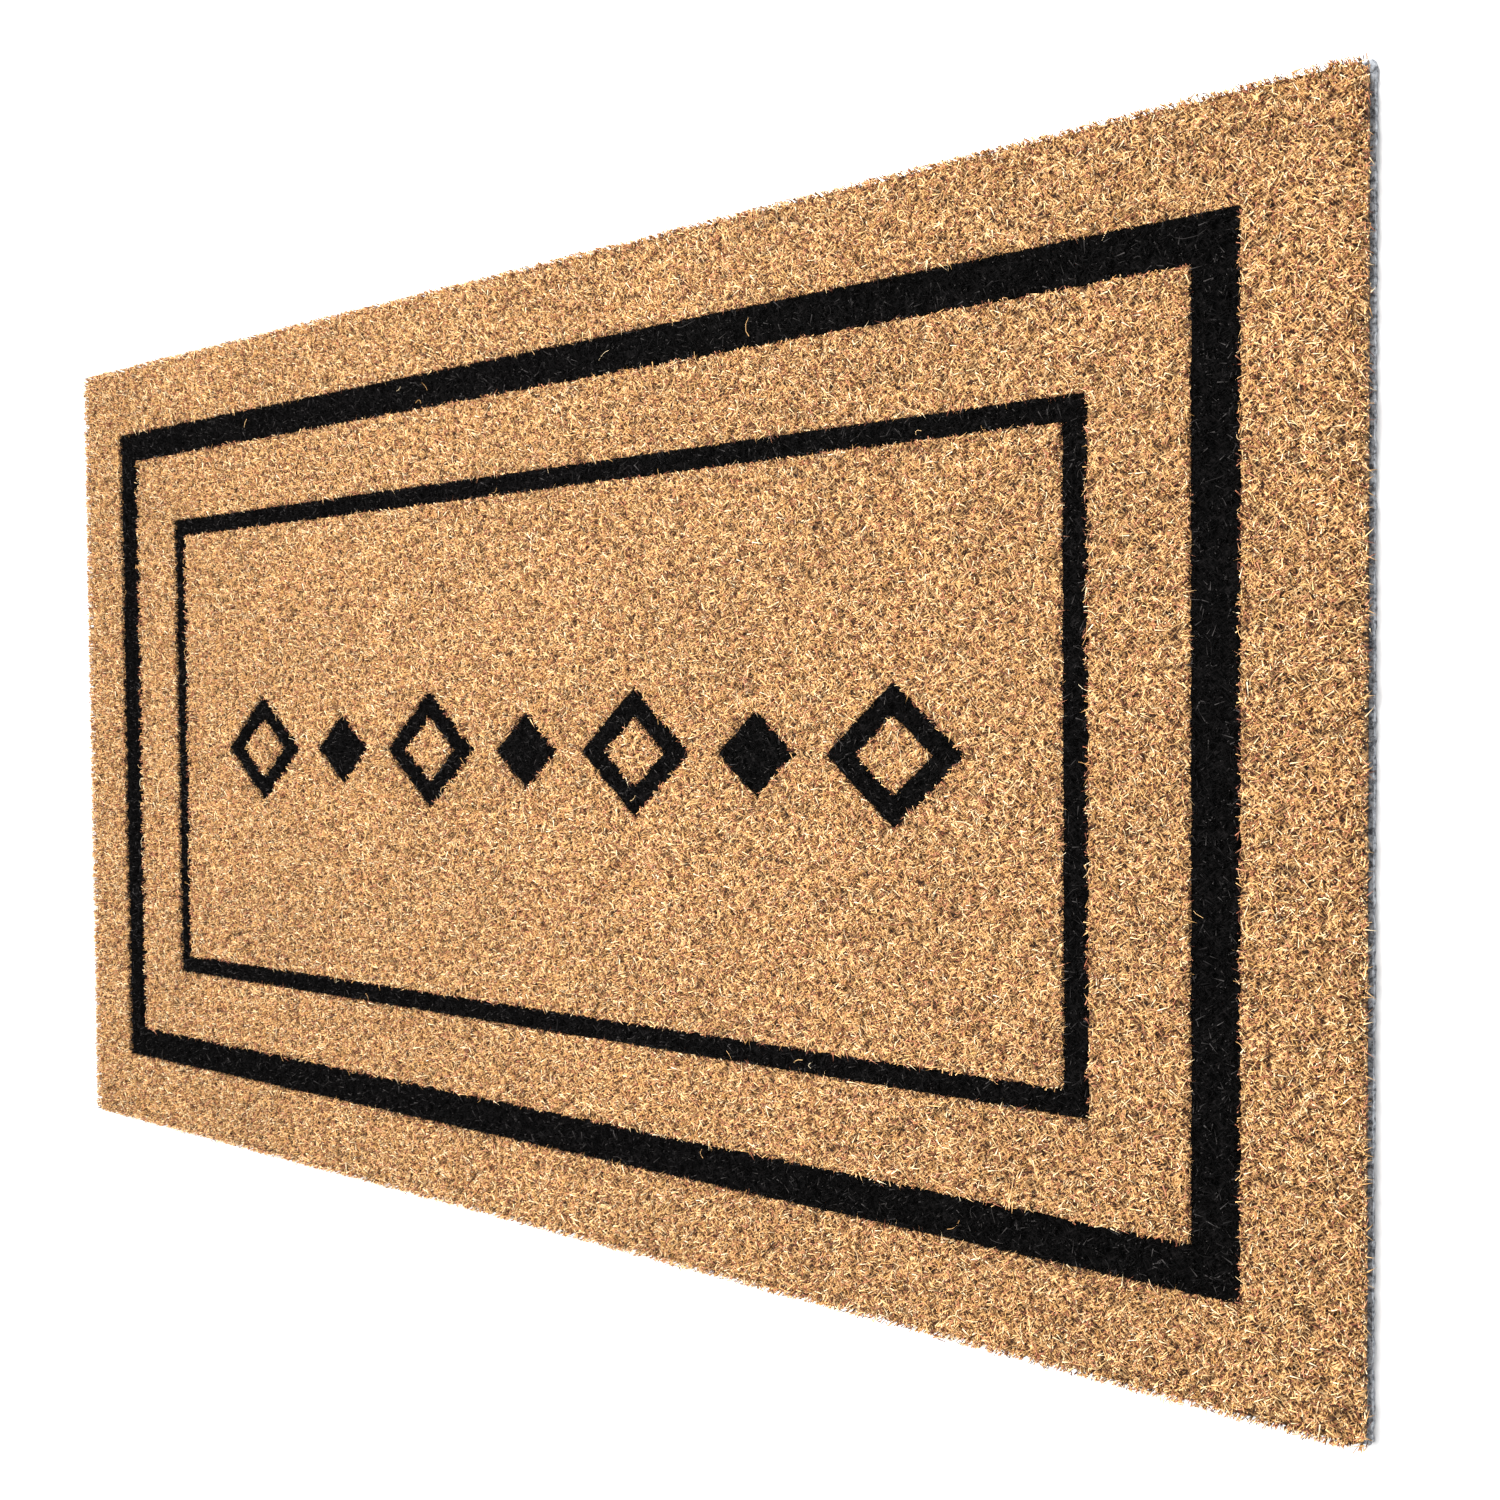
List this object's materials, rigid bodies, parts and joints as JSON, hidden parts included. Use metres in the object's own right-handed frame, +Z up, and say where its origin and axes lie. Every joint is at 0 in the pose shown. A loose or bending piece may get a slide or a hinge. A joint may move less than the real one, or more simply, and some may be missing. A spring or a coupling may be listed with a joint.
{
  "type": "door mat",
  "caption": "Rectangular coir door mat: natural coconut-fibre pile with black frames and a row of lozenges, on a grey PVC backing.",
  "frame": {"origin": "on the floor, under the middle of the mat", "axes": "+X along the mat's long side, +Y to the top of its pattern, +Z up through the pile"},
  "size_m": [0.762, 0.4572, 0.015],
  "materials": {
    "grey_pvc": "flexible blue-grey PVC with a knife-cut edge",
    "natural_coir": "undyed golden-brown coconut-fibre pile, cut level",
    "black_coir": "coconut-fibre pile dyed black, velvety"
  },
  "bodies": {
    "root": {"backing_sheet": "grey_pvc", "coir_border_outer": "natural_coir", "black_frame_outer": "black_coir", "coir_border_middle": "natural_coir", "black_frame_inner": "black_coir", "coir_centre_panel": "natural_coir", "black_lozenge_open_1": "black_coir", "black_lozenge_open_2": "black_coir", "black_lozenge_open_3": "black_coir", "black_lozenge_open_4": "black_coir", "coir_lozenge_filling_1": "natural_coir", "coir_lozenge_filling_2": "natural_coir", "coir_lozenge_filling_3": "natural_coir", "coir_lozenge_filling_4": "natural_coir", "black_lozenge_solid_1": "black_coir", "black_lozenge_solid_2": "black_coir", "black_lozenge_solid_3": "black_coir"}
  },
  "joints": []
}
